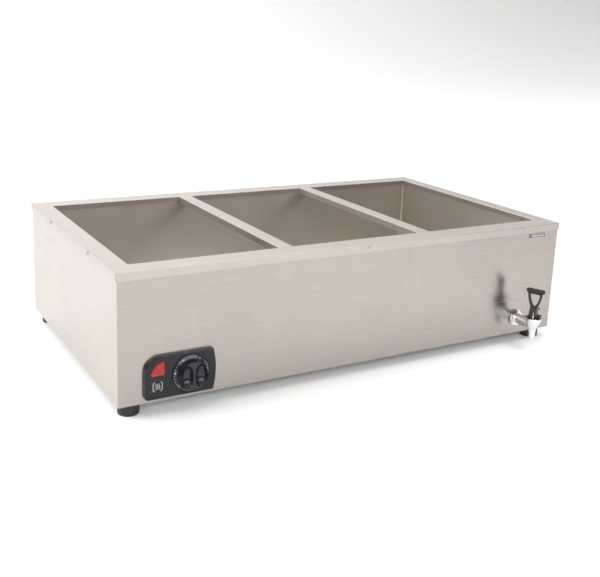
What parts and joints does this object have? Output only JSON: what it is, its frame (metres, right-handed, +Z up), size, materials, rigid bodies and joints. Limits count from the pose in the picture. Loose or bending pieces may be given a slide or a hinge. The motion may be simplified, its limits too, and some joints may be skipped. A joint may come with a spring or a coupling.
{
  "type": "steam table unit",
  "caption": "Countertop electric wet bain-marie: brushed steel casing with open pan bays over one water tank, dial thermostat with pilot lamp, and a lever drain tap.",
  "frame": {"origin": "on the floor plane under the feet, at the middle of the plan box of the whole unit, tap and cord gland included", "axes": "+X to the right seen from the front, +Y to the back, +Z up; the front, with the dial and the tap, faces -Y"},
  "size_m": [1.0664, 0.6998, 0.28],
  "materials": {
    "top_steel": "fine satin brushed stainless steel",
    "panel_steel": "satin brushed stainless steel",
    "tank_steel": "satin stainless steel, dulled by hot water",
    "plated_steel": "bright zinc-plated steel",
    "galvanised": "dull galvanised sheet with a faint spangle",
    "element_steel": "heat-tinted stainless tube",
    "chrome": "polished chrome",
    "badge": "dark mirror plate with a bright border",
    "black_plate": null,
    "black_knob": "gloss black moulding",
    "black_lever": "satin black moulding",
    "red_lens": "clear red moulded lens, faceted inside",
    "lamp": "pale moulded lamp holder",
    "brass": "machined brass",
    "copper": "drawn copper tube",
    "ceramic": "glazed off-white ceramic",
    "pale_plastic": "off-white moulded nylon",
    "black_rubber": "matt black rubber",
    "wire_sleeve": "glass-braid and silicone sleeve"
  },
  "bodies": {
    "casing": {"top_frame": "top_steel", "divider_seats": "top_steel", "tank": "tank_steel", "front_panel": "panel_steel", "back_panel": "panel_steel", "left_panel": "panel_steel", "right_panel": "panel_steel", "base_plate": "galvanised", "heat_shield": "galvanised", "foot_front_left": "black_rubber", "foot_front_right": "black_rubber", "foot_back_left": "black_rubber", "foot_back_right": "black_rubber", "foot_screws": "plated_steel", "foot_nuts": "plated_steel", "skirt_screws": "plated_steel", "base_screws": "plated_steel", "heating_element_left": "element_steel", "heating_element_centre": "element_steel", "heating_element_right": "element_steel", "element_terminals": "ceramic", "element_clamps": "galvanised", "clamp_studs": "plated_steel", "clamp_nuts": "plated_steel", "thermostat_body": "pale_plastic", "thermostat_screws": "plated_steel", "thermostat_capillary": "copper", "thermostat_bulb": "copper", "bulb_clips": "galvanised", "limit_cutout": "ceramic", "control_plate": "black_plate", "plate_push_nuts": "plated_steel", "pilot_lens": "red_lens", "pilot_lamp": "lamp", "name_plate": "badge", "tap_body": "chrome", "tap_bonnet": "chrome", "tap_flange_nut": "chrome", "tap_gasket": "black_rubber", "tap_lock_nut": "brass", "drain_elbow": "brass", "drain_flange": "chrome", "gland_body": "black_lever", "gland_cap": "black_lever", "gland_seal": "black_rubber", "gland_lock_nut": "black_lever", "terminal_block": "pale_plastic", "terminal_screws": "brass", "earth_stud": "brass", "earth_nuts": "brass", "wiring": "wire_sleeve"},
    "knob": {"knob": "black_knob", "knob_spindle": "plated_steel"},
    "tap_stem": {"tap_stem": "chrome", "tap_valve_cup": "black_rubber", "tap_lever_pin": "plated_steel", "tap_spring": "plated_steel"},
    "tap_lever": {"tap_lever": "black_lever"},
    "divider_left": {"divider_left": "top_steel"},
    "divider_right": {"divider_right": "top_steel"}
  },
  "joints": [
    {"name": "knob_turn", "type": "hinge", "parent": "casing", "child": "knob", "pos_m": [-0.3927, -0.27367, 0.074], "axis": [0, 1, 0], "range_deg": [0, 270]},
    {"name": "tap_stem_lift", "type": "slide", "parent": "casing", "child": "tap_stem", "axis": [0, 0, 1], "range_m": [0, 0.0042], "deforming": ["tap_spring"]},
    {"name": "tap_lever_tilt", "type": "hinge", "parent": "tap_stem", "child": "tap_lever", "pos_m": [0.421, -0.33017, 0.0897], "axis": [0.4493, -0.8934, 0], "range_deg": [0, 50], "stiffness_Nm_per_rad": 0.05, "springref_deg": -20.05},
    {"name": "divider_left_lift", "type": "slide", "parent": "casing", "child": "divider_left", "axis": [0, 0, 1], "range_m": [0, 0.08]},
    {"name": "divider_right_lift", "type": "slide", "parent": "casing", "child": "divider_right", "axis": [0, 0, 1], "range_m": [0, 0.08]}
  ],
  "couplings": [
    {"joint": "tap_stem_lift", "follows": "tap_lever_tilt", "m_per_rad": 0.0046}
  ]
}
